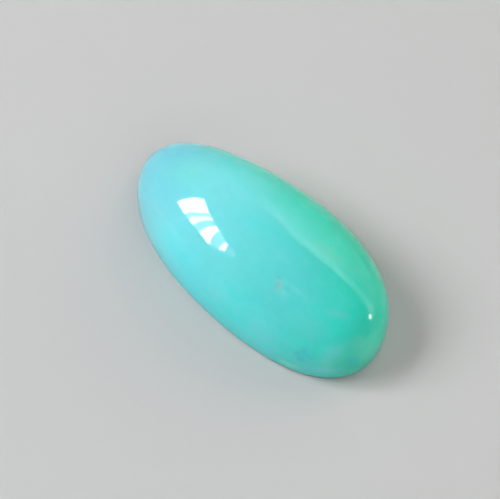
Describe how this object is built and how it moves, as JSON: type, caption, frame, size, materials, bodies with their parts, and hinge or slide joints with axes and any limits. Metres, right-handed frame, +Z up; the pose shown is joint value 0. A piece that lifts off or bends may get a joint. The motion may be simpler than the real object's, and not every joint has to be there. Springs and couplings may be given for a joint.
{
  "type": "polished chrysoprase cabochon",
  "caption": "Long oval polished chrysoprase cabochon with a full dome, a low girdle and a flat base, milky aqua at the narrow end and apple green at the blunt end.",
  "frame": {"origin": "middle of the outline's box, on the flat base that the stone rests on", "axes": "+X along the stone's length to its blunter end, +Y across its width, +Z up through the dome"},
  "size_m": [0.028, 0.0138, 0.0084],
  "materials": {
    "polished_chrysoprase": "high polish on the dome and girdle, satin on the flat base"
  },
  "bodies": {
    "root": {"chrysoprase_stone": "polished_chrysoprase"}
  },
  "joints": []
}
